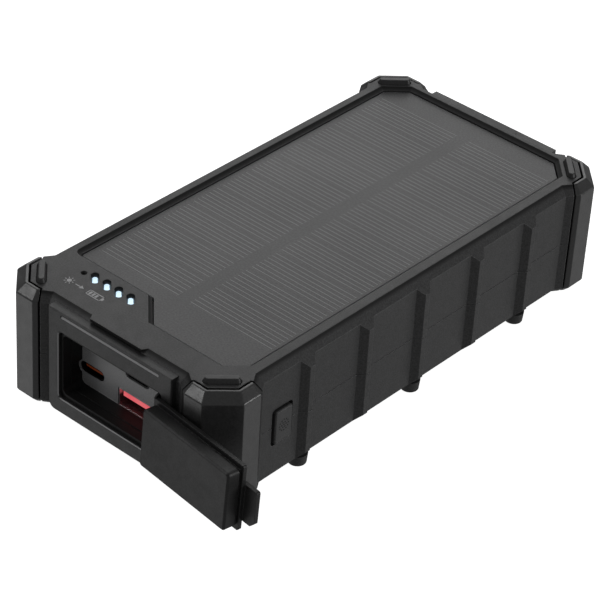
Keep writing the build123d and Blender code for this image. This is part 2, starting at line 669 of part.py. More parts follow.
with BuildPart() as port_flap:
    with BuildSketch(flap_plane):
        with Locations(((FLANGE_FROM + FLANGE_TO) / 2, FLAP_MID)):
            RectangleRounded(FLANGE_TO - FLANGE_FROM, FLANGE_TALL, 0.58)
    extrude(amount=FLANGE_THICK)
    with BuildSketch(flap_plane.offset(FLANGE_THICK)):
        with Locations(((PLUG_FROM + PLUG_TO) / 2, FLAP_MID)):
            Rectangle(PLUG_TO - PLUG_FROM - 2 * NECK_IN, PLUG_TALL - 2 * NECK_IN)
    extrude(amount=NECK)
    with BuildSketch(flap_plane.offset(FLANGE_THICK + NECK)):
        with Locations(((PLUG_FROM + PLUG_TO) / 2, FLAP_MID)):
            RectangleRounded(PLUG_TO - PLUG_FROM, PLUG_TALL, 1.2)
    extrude(amount=PLUG_DEEP - NECK)
    plug_face = port_flap.faces().sort_by(Axis(flap_plane.origin, flap_plane.z_dir))[-1]
    chamfer(plug_face.edges(), PLUG_EDGE)
    with BuildSketch(flap_plane.offset(-GRIP_THICK)) as grip_plan:
        add(face_of(GRIP))
        fillet(grip_plan.vertices(), 0.6)
    extrude(amount=GRIP_THICK)
port_flap.part.label = "port_flap"
export_step(port_flap.part, "parts/port_flap.step")

# The strip that the living hinge grows out of, held against the bay's side.
ANCHOR = (17.5, BAY_HALF - 0.15, -81.2, -75.5)
ANCHOR_TALL = 16.0
with BuildPart() as flap_anchor:
    with BuildSketch(Plane.XY.offset(BAY_MID_Z - ANCHOR_TALL / 2)):
        with Locations(((ANCHOR[0] + ANCHOR[1]) / 2, (ANCHOR[2] + ANCHOR[3]) / 2)):
            RectangleRounded(ANCHOR[1] - ANCHOR[0], ANCHOR[3] - ANCHOR[2], 0.4)
    extrude(amount=ANCHOR_TALL)
flap_anchor.part.label = "flap_anchor"
export_step(flap_anchor.part, "parts/flap_anchor.step")

# ---------------------------------------------------------------- button, its switch and board
LIP = 1.4
LIP_THICK = 0.8
PLUNGER_R = 1.6
SWITCH_HALF = 3.1
SWITCH_FRONT = 34.4
SWITCH_BACK = 31.5
BUTTON_BOARD_BACK = 30.0
BUTTON_BOARD_WIDE = 9.0
BUTTON_BOARD_TALL = 15.9
button_back = CAVITY_X - LIP_THICK
with BuildPart() as button_cap:
    with BuildSketch(Plane.YZ.offset(button_back)):
        with Locations((BUTTON_Y, BUTTON_Z)):
            RectangleRounded(BUTTON_WIDE + 2 * LIP, BUTTON_TALL + 2 * LIP, 1.0)
    extrude(amount=LIP_THICK)
    with BuildSketch(Plane.YZ.offset(CAVITY_X)):
        with Locations((BUTTON_Y, BUTTON_Z)):
            RectangleRounded(BUTTON_WIDE, BUTTON_TALL, 0.9)
    extrude(amount=WALL_X + BUTTON_PROUD - CAVITY_X)
    chamfer(button_cap.faces().sort_by(Axis.X)[-1].edges(), BUTTON_EDGE)
button_cap.part.label = "button_cap"
export_step(button_cap.part, "parts/button_cap.step")

with BuildPart() as switch_plunger:
    with BuildSketch(Plane.YZ.offset(SWITCH_FRONT - 0.8)):
        with Locations((BUTTON_Y, BUTTON_Z)):
            Circle(PLUNGER_R)
    extrude(amount=button_back - SWITCH_FRONT + 0.8)
switch_plunger.part.label = "switch_plunger"
export_step(switch_plunger.part, "parts/switch_plunger.step")

with BuildPart() as tact_switch:
    with BuildSketch(Plane.YZ.offset(SWITCH_BACK)):
        with Locations((BUTTON_Y, BUTTON_Z)):
            Rectangle(2 * SWITCH_HALF, 2 * SWITCH_HALF)
    extrude(amount=SWITCH_FRONT - SWITCH_BACK)
    with BuildSketch(Plane.YZ.offset(SWITCH_FRONT)):
        with Locations((BUTTON_Y, BUTTON_Z)):
            Circle(PLUNGER_R + 0.08)
    extrude(amount=-1.6, mode=Mode.SUBTRACT)
tact_switch.part.label = "tact_switch"
export_step(tact_switch.part, "parts/tact_switch.step")

with BuildPart() as button_board:
    with BuildSketch(Plane.YZ.offset(BUTTON_BOARD_BACK)):
        with Locations((BUTTON_Y, BUTTON_Z)):
            Rectangle(BUTTON_BOARD_WIDE, BUTTON_BOARD_TALL)
    extrude(amount=SWITCH_BACK - BUTTON_BOARD_BACK)
button_board.part.label = "button_board"
export_step(button_board.part, "parts/button_board.step")

# ---------------------------------------------------------------- solar panel
CELL_ROWS = 10
CELL_PITCH = 12.17
CELL_LONG = 11.0
CELL_MID_Y = 6.3
CELL_COLUMNS = [(-32.2, -2.2), (2.2, 32.2)]
panel_floor = RECESS_Z + ADHESIVE
cell_floor = panel_floor + BACKING
row_ys = [CELL_MID_Y + (row - (CELL_ROWS - 1) / 2) * CELL_PITCH for row in range(CELL_ROWS)]


def cell_grid():
    """Plan of all the cells, two columns of them."""
    with BuildSketch() as grid:
        for low, high in CELL_COLUMNS:
            with Locations(*[((low + high) / 2, y) for y in row_ys]):
                Rectangle(high - low, CELL_LONG)
    return grid.sketch


with BuildPart() as panel_adhesive:
    with BuildSketch(Plane.XY.offset(RECESS_Z)):
        add(panel_plan)
        add(offset(panel_plan, amount=-5, kind=Kind.INTERSECTION, mode=Mode.PRIVATE), mode=Mode.SUBTRACT)
    extrude(amount=ADHESIVE)
panel_adhesive.part.label = "panel_adhesive"
export_step(panel_adhesive.part, "parts/panel_adhesive.step")

with BuildPart() as solar_backing:
    with BuildSketch(Plane.XY.offset(panel_floor)):
        add(panel_plan)
    extrude(amount=BACKING)
solar_backing.part.label = "solar_backing"
export_step(solar_backing.part, "parts/solar_backing.step")

with BuildPart() as solar_cells:
    with BuildSketch(Plane.XY.offset(cell_floor)):
        add(cell_grid())
    extrude(amount=CELL_THICK)
solar_cells.part.label = "solar_cells"
export_step(solar_cells.part, "parts/solar_cells.step")

with BuildPart() as solar_laminate:
    with BuildSketch(Plane.XY.offset(cell_floor)):
        add(panel_plan)
    extrude(amount=PANEL_Z - cell_floor)
    with BuildSketch(Plane.XY.offset(cell_floor)):
        add(cell_grid())
    extrude(amount=CELL_THICK, mode=Mode.SUBTRACT)
solar_laminate.part.label = "solar_laminate"
export_step(solar_laminate.part, "parts/solar_laminate.step")

# ---------------------------------------------------------------- charge lights
PIPE_BASE = 35.5
CHIP_TALL = 0.6

# The four windows share one moulded light guide, held under the roof by a bar.
with BuildPart() as light_guide:
    with BuildSketch(Plane.XY.offset(PIPE_BASE)):
        with Locations((LIGHT_X + (LIGHT_COUNT - 1) * LIGHT_PITCH / 2, LIGHT_Y)):
            RectangleRounded((LIGHT_COUNT - 1) * LIGHT_PITCH + LIGHT_LONG, LIGHT_LONG, 0.6)
        with Locations((SPOT_X, SPOT_Y)):
            Circle(SPOT_RIM_R, mode=Mode.SUBTRACT)
    extrude(amount=ROOF_Z - PIPE_BASE)
    with BuildSketch(Plane.XY.offset(ROOF_Z)):
        with Locations(*LIGHT_SPOTS):
            SlotOverall(LIGHT_LONG - FIT, LIGHT_WIDE - FIT, rotation=LIGHT_ANGLE)
    extrude(amount=TOP_Z - LIGHT_SUNK - ROOF_Z)
light_guide.part.label = "light_guide"
export_step(light_guide.part, "parts/light_guide.step")

with BuildPart() as indicator_pipe:
    with BuildSketch(Plane.XY.offset(PIPE_BASE)):
        with Locations((SPOT_X, SPOT_Y)):
            Circle(SPOT_R - FIT / 2)
    extrude(amount=TOP_Z - LIGHT_SUNK - PIPE_BASE)
indicator_pipe.part.label = "indicator_pipe"
export_step(indicator_pipe.part, "parts/indicator_pipe.step")

with BuildPart() as status_board:
    low_x, low_y, high_x, high_y = STATUS_BOARD
    with BuildSketch(Plane.XY.offset(STATUS_Z)):
        with Locations(((low_x + high_x) / 2, (low_y + high_y) / 2)):
            Rectangle(high_x - low_x, high_y - low_y)
    extrude(amount=STATUS_THICK)
status_board.part.label = "status_board"
export_step(status_board.part, "parts/status_board.step")

with BuildPart() as status_leds:
    with BuildSketch(Plane.XY.offset(STATUS_Z + STATUS_THICK)):
        with Locations(*LIGHT_SPOTS, (SPOT_X, SPOT_Y)):
            Rectangle(1.6, 0.8, rotation=LIGHT_ANGLE)
    extrude(amount=CHIP_TALL)
status_leds.part.label = "status_leds"
export_step(status_leds.part, "parts/status_leds.step")

# ---------------------------------------------------------------- boards
BOARD_THICK = 1.6
BOARD_HALF = 29.0
BOARD_FRONT = -58.2
BOARD_REAR = -41.5
board_top = BOARD_Z + BOARD_THICK

with BuildPart() as main_board:
    with BuildSketch(Plane.XY.offset(BOARD_Z)):
        with Locations((0, (BOARD_FRONT + BOARD_REAR) / 2)):
            Rectangle(2 * BOARD_HALF, BOARD_REAR - BOARD_FRONT)
    extrude(amount=BOARD_THICK)
main_board.part.label = "main_board"
export_step(main_board.part, "parts/main_board.step")

with BuildPart() as inductors:
    with BuildSketch(Plane.XY.offset(board_top)):
        with Locations((-18, -50), (-5, -50)):
            RectangleRounded(10, 10, 1.5)
    extrude(amount=4.2)
    chamfer(inductors.faces().filter_by(Axis.Z).group_by(Axis.Z)[-1].edges(), 0.5)
inductors.part.label = "inductors"
export_step(inductors.part, "parts/inductors.step")

with BuildPart() as control_chips:
    with BuildSketch(Plane.XY.offset(board_top)):
        with Locations((6, -47), (14, -53), (20, -46)):
            Rectangle(5, 5)
        with Locations((6, -54)):
            Rectangle(6, 4)
    extrude(amount=0.9)
control_chips.part.label = "control_chips"
export_step(control_chips.part, "parts/control_chips.step")

with BuildPart() as capacitors:
    with BuildSketch(Plane.XY.offset(board_top)):
        with Locations((-26.4, -50), (14, -47), (26, -53)):
            Circle(2.5)
    extrude(amount=5.4)
capacitors.part.label = "capacitors"
export_step(capacitors.part, "parts/capacitors.step")

with BuildPart() as port_board:
    with BuildSketch(Plane.XZ.offset(PORT_BOARD_Y - BOARD_THICK)):
        with Locations((0, (5.0 + CEILING_Z - 1.0) / 2)):
            Rectangle(2 * SLEEVE_HALF, CEILING_Z - 6.0)
    extrude(amount=BOARD_THICK)
port_board.part.label = "port_board"
export_step(port_board.part, "parts/port_board.step")

# ---------------------------------------------------------------- battery
CELL_HALF_X = 33.0
CELL_FRONT = -38.0
CELL_REAR = 66.0
CELL_TALL = 9.0
TAPE = 0.3
PAD_BELOW = 1.0
CELL_NAMES = ["lower", "middle", "upper"]
cell_bottoms = [FLOOR_Z + PAD_BELOW + k * (CELL_TALL + TAPE) for k in range(len(CELL_NAMES))]
stack_top = cell_bottoms[-1] + CELL_TALL


def slab(low_z, high_z, half_x, front_y, rear_y):
    """A flat rectangular block between two heights."""
    with BuildPart() as block:
        with BuildSketch(Plane.XY.offset(low_z)):
            with Locations((0, (front_y + rear_y) / 2)):
                Rectangle(2 * half_x, rear_y - front_y)
        extrude(amount=high_z - low_z)
    return block.part


for name, bottom in zip(CELL_NAMES, cell_bottoms):
    with BuildPart() as battery_cell:
        add(slab(bottom, bottom + CELL_TALL, CELL_HALF_X, CELL_FRONT, CELL_REAR))
        fillet(battery_cell.edges().filter_by(Axis.Y), 3.0)
    battery_cell.part.label = f"battery_cell_{name}"
    export_step(battery_cell.part, f"parts/battery_cell_{name}.step")

with BuildPart() as cell_tapes:
    for bottom in cell_bottoms[1:]:
        add(slab(bottom - TAPE, bottom, 26, CELL_FRONT + 8, CELL_REAR - 8))
cell_tapes.part.label = "cell_tapes"
export_step(cell_tapes.part, "parts/cell_tapes.step")

with BuildPart() as foam_pads:
    add(slab(FLOOR_Z, FLOOR_Z + PAD_BELOW, 26, CELL_FRONT + 8, CELL_REAR - 8))
    add(slab(stack_top, CEILING_Z, 26, CELL_FRONT + 8, CELL_REAR - 8))
foam_pads.part.label = "foam_pads"
export_step(foam_pads.part, "parts/foam_pads.step")

with BuildPart() as protection_board:
    with BuildSketch(Plane.XZ.offset(-CELL_FRONT + 0.4)):
        with Locations((0, 18)):
            Rectangle(40, 14)
    extrude(amount=1.0)
protection_board.part.label = "protection_board"
export_step(protection_board.part, "parts/protection_board.step")

# ---------------------------------------------------------------- lamp in the rear end
LENS_BACK = BEZEL_FRONT - RIM_DEPTH
LAMP_XS = (-12.0, 0.0, 12.0)
REFLECTOR_BACK = 74.2
LAMP_BOARD_THICK = 1.2
CUP_R = 5.2
CUP_EYE_R = 1.6
LAMP_CHIP = 0.7

with BuildPart() as lamp_lens:
    with BuildSketch(Plane.XZ.offset(-LENS_BACK)):
        with Locations((0, (RIM_LOW + RIM_HIGH) / 2)):
            RectangleRounded(2 * RIM_HALF - 2 * FIT, RIM_HIGH - RIM_LOW - 2 * FIT, RIM_ROUND - FIT)
    extrude(amount=-RIM_DEPTH)
    chamfer(lamp_lens.faces().sort_by(Axis.Y)[-1].edges(), 0.3)
lamp_lens.part.label = "lamp_lens"
export_step(lamp_lens.part, "parts/lamp_lens.step")

with BuildPart() as lamp_reflector:
    with BuildSketch(Plane.XZ.offset(-LENS_BACK)):
        with Locations((0, BAY_MID_Z)):
            RectangleRounded(2 * BAY_HALF - 2 * FIT, BAY_HIGH - BAY_LOW - 2 * FIT, RIM_ROUND - FIT)
    extrude(amount=LENS_BACK - REFLECTOR_BACK)
    with BuildSketch(Plane.XZ.offset(-LENS_BACK)):
        with Locations(*[(x, BAY_MID_Z) for x in LAMP_XS]):
            Circle(CUP_R)
    cup_deep = LENS_BACK - REFLECTOR_BACK
    extrude(amount=cup_deep, taper=degrees(atan2(CUP_R - CUP_EYE_R, cup_deep)), mode=Mode.SUBTRACT)
lamp_reflector.part.label = "lamp_reflector"
export_step(lamp_reflector.part, "parts/lamp_reflector.step")

with BuildPart() as lamp_board:
    with BuildSketch(Plane.XZ.offset(-REFLECTOR_BACK)):
        with Locations((0, BAY_MID_Z)):
            Rectangle(2 * BAY_HALF - 2, BAY_HIGH - BAY_LOW - 2)
    extrude(amount=LAMP_BOARD_THICK)
lamp_board.part.label = "lamp_board"
export_step(lamp_board.part, "parts/lamp_board.step")

with BuildPart() as lamp_leds:
    with BuildSketch(Plane.XZ.offset(-REFLECTOR_BACK)):
        with Locations(*[(x, BAY_MID_Z) for x in LAMP_XS]):
            Rectangle(2.0, 2.0)
    extrude(amount=-LAMP_CHIP)
lamp_leds.part.label = "lamp_leds"
export_step(lamp_leds.part, "parts/lamp_leds.step")

# ---------------------------------------------------------------- inner leads, all flat strips
STRIP = 0.6


def pulled_in(end, neighbour):
    """The end of a path moved half the strip's thickness towards the next point."""
    step = Vector(*neighbour) - Vector(*end)
    return Vector(*end) + step.normalized() * (STRIP / 2)


def strip(plane, points, width):
    """A flat lead with square bends, drawn on a plane and this wide along the plane's normal."""
    route = [pulled_in(points[0], points[1])]
    route += [Vector(*point) for point in points[1:-1]]
    route += [pulled_in(points[-1], points[-2])]
    with BuildPart() as lead:
        with BuildSketch(plane):
            for start, end in zip(route, route[1:]):
                with Locations((start + end) * 0.5):
                    Rectangle(abs(end.X - start.X) + STRIP, abs(end.Y - start.Y) + STRIP)
        extrude(amount=width)
    return lead.part


LEAD_WIDE = 3.0
lead_y = LEAD_SLOT[1]
solar_path = [(lead_y, board_top), (lead_y, panel_floor)]
solar_lead = strip(Plane.YZ.offset(LEAD_SLOT[0] - LEAD_WIDE / 2), solar_path, LEAD_WIDE)
solar_lead.label = "solar_lead"
export_step(solar_lead, "parts/solar_lead.step")

battery_path = [(CELL_FRONT - 1.4, 20.0), (-43.6, 20.0), (-43.6, board_top)]
with BuildPart() as battery_leads:
    for x in (-12.0, 8.0):
        add(strip(Plane.YZ.offset(x), battery_path, LEAD_WIDE))
battery_leads.part.label = "battery_leads"
export_step(battery_leads.part, "parts/battery_leads.step")

status_path = [(-64.0, STATUS_Z), (-64.0, 14.0), (-56.0, 14.0), (-56.0, board_top)]
status_lead = strip(Plane.YZ.offset(-27.0), status_path, LEAD_WIDE)
status_lead.label = "status_lead"
export_step(status_lead, "parts/status_lead.step")
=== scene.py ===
import json
import math

import bmesh
import bpy
from mathutils import Matrix, Vector


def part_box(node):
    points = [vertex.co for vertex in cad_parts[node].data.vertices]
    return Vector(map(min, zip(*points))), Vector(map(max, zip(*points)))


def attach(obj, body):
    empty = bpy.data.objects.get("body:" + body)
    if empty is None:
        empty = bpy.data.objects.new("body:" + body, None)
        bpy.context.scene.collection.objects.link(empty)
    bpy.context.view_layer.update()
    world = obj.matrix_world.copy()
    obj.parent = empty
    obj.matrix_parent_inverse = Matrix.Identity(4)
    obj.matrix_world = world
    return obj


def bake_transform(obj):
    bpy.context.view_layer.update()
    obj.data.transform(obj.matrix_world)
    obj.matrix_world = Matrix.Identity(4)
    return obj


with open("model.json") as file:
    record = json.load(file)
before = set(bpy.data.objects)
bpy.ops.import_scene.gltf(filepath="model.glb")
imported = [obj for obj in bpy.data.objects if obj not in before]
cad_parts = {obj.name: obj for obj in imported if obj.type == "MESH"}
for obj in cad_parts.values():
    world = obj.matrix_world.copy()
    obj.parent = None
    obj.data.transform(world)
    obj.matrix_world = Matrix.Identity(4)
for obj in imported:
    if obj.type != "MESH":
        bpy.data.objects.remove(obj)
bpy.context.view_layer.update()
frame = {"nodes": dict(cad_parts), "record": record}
nodes = frame["nodes"]
scene = bpy.context.scene
MM = 0.001  # in metres
NOISE_LOW = 0.3
NOISE_HIGH = 0.7


# ---------------------------------------------------------------- material helpers
class Graph:
    """A material's node tree with short ways to add and join nodes."""

    def __init__(self, name):
        self.mat = bpy.data.materials.new(name)
        self.mat.use_nodes = True
        self.tree = self.mat.node_tree
        self.tree.nodes.clear()
        self.out = self.tree.nodes.new("ShaderNodeOutputMaterial")
        self.bsdf = self.tree.nodes.new("ShaderNodeBsdfPrincipled")
        self.join(self.bsdf.outputs[0], self.out.inputs[0])
        self.where = self.node("ShaderNodeTexCoord").outputs["Object"]

    def node(self, kind, **settings):
        made = self.tree.nodes.new(kind)
        for key, value in settings.items():
            setattr(made, key, value)
        return made

    def join(self, a, b):
        self.tree.links.new(a, b)

    def fill(self, socket, value):
        if hasattr(value, "links"):
            self.join(value, socket)
        else:
            socket.default_value = value

    def math(self, operation, a, b=0.0, clamp=False):
        made = self.node("ShaderNodeMath", operation=operation, use_clamp=clamp)
        self.fill(made.inputs[0], a)
        self.fill(made.inputs[1], b)
        return made.outputs[0]

    def noise(self, size_mm, detail=2.0, rough=0.5, stretch=None):
        """Noise whose features are about this size, from 0 to 1."""
        made = self.node("ShaderNodeTexNoise")
        made.inputs["Scale"].default_value = 1000.0 / size_mm
        made.inputs["Detail"].default_value = detail
        made.inputs["Roughness"].default_value = rough
        where = self.where
        if stretch:
            mapping = self.node("ShaderNodeMapping")
            mapping.inputs["Scale"].default_value = stretch
            self.join(where, mapping.inputs[0])
            where = mapping.outputs[0]
        self.join(where, made.inputs["Vector"])
        return made.outputs[0]

    def spots(self, size_mm):
        made = self.node("ShaderNodeTexVoronoi")
        made.inputs["Scale"].default_value = 1000.0 / size_mm
        self.join(self.where, made.inputs["Vector"])
        return made.outputs["Distance"]

    def along(self, axis):
        """One of the object coordinates, in metres."""
        made = self.node("ShaderNodeSeparateXYZ")
        self.join(self.where, made.inputs[0])
        return made.outputs[axis]

    def inside(self, value, low_mm, high_mm):
        """1 where a length in metres lies between these two, else 0."""
        above = self.math("GREATER_THAN", value, low_mm * MM)
        return self.math("MULTIPLY", above, self.math("LESS_THAN", value, high_mm * MM))

    def ranged(self, value, low, high, to_low=0.0, to_high=1.0):
        made = self.node("ShaderNodeMapRange")
        self.fill(made.inputs["Value"], value)
        for key, number in (("From Min", low), ("From Max", high), ("To Min", to_low), ("To Max", to_high)):
            self.fill(made.inputs[key], number)
        return made.outputs[0]

    def spread(self, value, to_low=0.0, to_high=1.0):
        """The middle of a noise's span, stretched to these two."""
        return self.ranged(value, NOISE_LOW, NOISE_HIGH, to_low, to_high)

    def mix(self, factor, a, b):
        made = self.node("ShaderNodeMix", data_type="RGBA")
        self.fill(made.inputs["Factor"], factor)
        for socket, value in ((made.inputs[6], a), (made.inputs[7], b)):
            self.fill(socket, (*value, 1.0) if isinstance(value, tuple) and len(value) == 3 else value)
        return made.outputs[2]

    def edge(self, radius_mm, low=0.02, high=0.25):
        """(1 on sharp outer edges and corners, the rounded normal)."""
        bevel = self.node("ShaderNodeBevel", samples=6)
        bevel.inputs["Radius"].default_value = radius_mm * MM
        flat = self.node("ShaderNodeNewGeometry").outputs["Normal"]
        dot = self.node("ShaderNodeVectorMath", operation="DOT_PRODUCT")
        self.join(bevel.outputs[0], dot.inputs[0])
        self.join(flat, dot.inputs[1])
        bend = self.math("SUBTRACT", 1.0, dot.outputs["Value"])
        return self.ranged(bend, low, high), bevel.outputs[0]

    def bump(self, height, depth_mm, strength=1.0, normal=None):
        made = self.node("ShaderNodeBump")
        made.inputs["Strength"].default_value = strength
        made.inputs["Distance"].default_value = depth_mm * MM
        self.join(height, made.inputs["Height"])
        if normal is not None:
            self.join(normal, made.inputs["Normal"])
        return made.outputs[0]


def tint(colour, factor):
    return tuple(min(1.0, c * factor) for c in colour)


BLOTCH = 0.12
SCUFF_SHEEN = 0.12
# colour and specular level of painted shade, used where a piece lies in shade
PAINTED_SHADE_COLOUR = (0.013, 0.013, 0.013)
PAINTED_SHADE_SPECULAR = 0.25
# how much brighter a painted highlight makes the colour
PAINTED_HIGHLIGHT_GAIN = 14.0


def moulded(
    name,
    colour,
    rough,
    grain_mm=0.6,
    grain_depth=0.02,
    wear_and_highlight_gain=1.9,
    edge_mm=0.3,
    specular=0.5,
    painted_shade=None,
    painted_highlight=None,
):
    """Moulded plastic or rubber: fine spark-eroded grain, uneven sheen, and edges glossier from wear
    and lighter in colour, partly from wear and partly as a painted highlight.

    The shade mask, called with the graph, gives 1 where shade is painted in dark and the specular level
    lowered, as inside an opening; the highlight mask, called with the graph, gives 1 where a highlight is
    painted in bright.
    """
    g = Graph(name)
    fine = g.noise(grain_mm, detail=3.0, rough=0.6)
    cells = g.spots(grain_mm * 1.3)
    broad = g.noise(28.0, detail=3.0, rough=0.55)
    middle = g.noise(2.2, detail=2.0, rough=0.5)
    edge, rounded = g.edge(edge_mm, low=0.01, high=0.15)
    patches = g.ranged(g.noise(3.5, detail=3.0, rough=0.6), 0.25, 0.6, 0.35, 1.0)
    # edges lightened in colour below, partly by wear and partly as a painted highlight
    wear_and_highlight_edges = g.math("MULTIPLY", edge, patches)
    shade = g.mix(g.spread(broad), tint(colour, 1.0 - BLOTCH), tint(colour, 1.0 + BLOTCH))
    speckled = g.mix(g.ranged(fine, 0.35, 0.68), tint(colour, 0.35), tint(colour, 1.75))
    finished = g.mix(wear_and_highlight_edges, g.mix(0.6, shade, speckled), tint(colour, wear_and_highlight_gain))
    # painted shade: darker colour and a lower specular level where the mask says shade falls
    if painted_shade:
        dark = painted_shade(g)
        finished = g.mix(dark, finished, PAINTED_SHADE_COLOUR)
        dulled = g.ranged(dark, 0.0, 1.0, specular, PAINTED_SHADE_SPECULAR)
        g.join(dulled, g.bsdf.inputs["Specular IOR Level"])
    # painted highlight: colour made much brighter where the mask marks a glinting edge
    if painted_highlight:
        finished = g.mix(painted_highlight(g), finished, tint(colour, PAINTED_HIGHLIGHT_GAIN))
    g.join(finished, g.bsdf.inputs["Base Color"])
    sheen = g.math("ADD", g.spread(broad, -0.035, 0.035), g.spread(middle, -0.03, 0.03))
    flat = g.math("ADD", sheen, rough)
    rubbed = g.math("MULTIPLY", wear_and_highlight_edges, SCUFF_SHEEN)
    g.join(g.math("SUBTRACT", flat, rubbed, clamp=True), g.bsdf.inputs["Roughness"])
    if not painted_shade:
        g.bsdf.inputs["Specular IOR Level"].default_value = specular
    height = g.math("ADD", fine, g.math("MULTIPLY", cells, 0.5))
    g.join(g.bump(height, grain_depth, strength=0.8, normal=rounded), g.bsdf.inputs["Normal"])
    return g.mat


def metal(name, colour, rough, brushed=(1.0, 1.0, 12.0)):
    """Plated sheet: fine drawn streaks and brighter edges."""
    g = Graph(name)
    streak = g.noise(0.6, detail=3.0, rough=0.6, stretch=brushed)
    cloud = g.noise(6.0, detail=2.0, rough=0.5)
    edge, rounded = g.edge(0.12)
    g.bsdf.inputs["Metallic"].default_value = 1.0
    shade = g.mix(g.spread(cloud), tint(colour, 0.82), tint(colour, 1.1))
    g.join(g.mix(g.math("MULTIPLY", edge, 0.6), shade, tint(colour, 1.45)), g.bsdf.inputs["Base Color"])
    g.join(g.spread(streak, rough - 0.08, rough + 0.1), g.bsdf.inputs["Roughness"])
    g.join(g.bump(streak, 0.004, strength=0.5, normal=rounded), g.bsdf.inputs["Normal"])
    return g.mat


def board(name):
    """Circuit board: green mask over a faint weave with buried tracks."""
    g = Graph(name)
    weave = g.node("ShaderNodeTexWave", wave_type="BANDS", bands_direction="X")
    weave.inputs["Scale"].default_value = 420.0
    g.join(g.where, weave.inputs["Vector"])
    tracks = g.node("ShaderNodeTexBrick")
    tracks.inputs["Scale"].default_value = 260.0
    g.join(g.where, tracks.inputs["Vector"])
    line = g.ranged(tracks.outputs["Fac"], 0.0, 1.0)
    base = g.mix(line, (0.012, 0.11, 0.045), (0.02, 0.19, 0.08))
    woven = g.mix(g.math("MULTIPLY", weave.outputs["Fac"], 0.2), base, (0.03, 0.16, 0.07))
    g.join(woven, g.bsdf.inputs["Base Color"])
    g.join(g.spread(g.noise(1.5), 0.28, 0.42), g.bsdf.inputs["Roughness"])
    g.join(g.bump(line, 0.02, strength=0.5), g.bsdf.inputs["Normal"])
    return g.mat


def laminate(name):
    """Fine-grained, slightly glossy film over the cells, with slow clouds and a paler edge as a painted
    highlight.
    """
    g = Graph(name)
    grain = g.noise(0.55, detail=3.0, rough=0.6)
    pits = g.spots(0.7)
    broad = g.noise(35.0, detail=2.0, rough=0.5)
    edge, rounded = g.edge(0.4, low=0.004, high=0.09)
    shade = g.mix(g.ranged(grain, 0.36, 0.66), (0.0, 0.0, 0.0), (0.064, 0.0645, 0.066))
    cloud = g.mix(g.spread(broad, 0.0, 0.3), shade, (0.03, 0.0305, 0.032))
    # edge painted paler as a highlight
    g.join(g.mix(g.math("MULTIPLY", edge, 0.9), cloud, (0.3, 0.3, 0.31)), g.bsdf.inputs["Base Color"])
    sheen = g.math("ADD", g.spread(broad, 0.40, 0.46), g.spread(grain, -0.03, 0.03))
    g.join(sheen, g.bsdf.inputs["Roughness"])
    g.bsdf.inputs["Coat Weight"].default_value = 0.12
    g.bsdf.inputs["Coat Roughness"].default_value = 0.35
    height = g.math("ADD", grain, g.math("MULTIPLY", pits, 0.6))
    g.join(g.bump(height, 0.012, strength=0.7, normal=rounded), g.bsdf.inputs["Normal"])
    return g.mat


def printed(name, colour, rough):
    """Printed ink or a fired line, with a fine grain in its tone and sheen."""
    g = Graph(name)
    grain = g.noise(0.18, detail=3.0, rough=0.7)
    g.join(g.mix(g.spread(grain), tint(colour, 0.75), tint(colour, 1.15)), g.bsdf.inputs["Base Color"])
    g.join(g.spread(grain, rough - 0.08, rough + 0.08), g.bsdf.inputs["Roughness"])
    g.join(g.bump(grain, 0.004, strength=0.5), g.bsdf.inputs["Normal"])
    return g.mat


def glowing(name, colour, strength):
    """Milky light guide that glows, with faint clouds in it."""
    g = Graph(name)
    cloud = g.noise(1.1, detail=2.0, rough=0.5)
    g.join(g.mix(g.spread(cloud), tint(colour, 0.9), colour), g.bsdf.inputs["Base Color"])
    g.join(g.spread(cloud, 0.22, 0.34), g.bsdf.inputs["Roughness"])
    g.join(g.mix(g.spread(cloud), tint(colour, 0.88), colour), g.bsdf.inputs["Emission Color"])
    g.bsdf.inputs["Emission Strength"].default_value = strength
    g.join(g.bump(g.noise(0.4), 0.01, strength=0.3), g.bsdf.inputs["Normal"])
    return g.mat


def plain(name, colour, rough, metallic=0.0, grain_mm=0.5, depth=0.01, clear=0.0):
    """Inner pieces: colour, sheen and grain that suit the stuff they're made of."""
    g = Graph(name)
    fine = g.noise(grain_mm, detail=3.0, rough=0.6)
    broad = g.noise(9.0, detail=2.0, rough=0.5)
    edge, rounded = g.edge(0.15)
    base = g.mix(g.spread(broad), tint(colour, 0.85), tint(colour, 1.12))
    fleck = g.mix(g.spread(fine, 0.0, 0.35), base, tint(colour, 0.6))
    g.join(g.mix(g.math("MULTIPLY", edge, 0.5), fleck, tint(colour, 1.5)), g.bsdf.inputs["Base Color"])
    g.join(g.spread(fine, rough - 0.07, rough + 0.07), g.bsdf.inputs["Roughness"])
    g.bsdf.inputs["Metallic"].default_value = metallic
    g.bsdf.inputs["Transmission Weight"].default_value = clear
    g.join(g.bump(fine, depth, strength=0.6, normal=rounded), g.bsdf.inputs["Normal"])
    return g.mat


TONGUE_END = -71.5  # the insert's tongue lies in front of this, its back wall behind


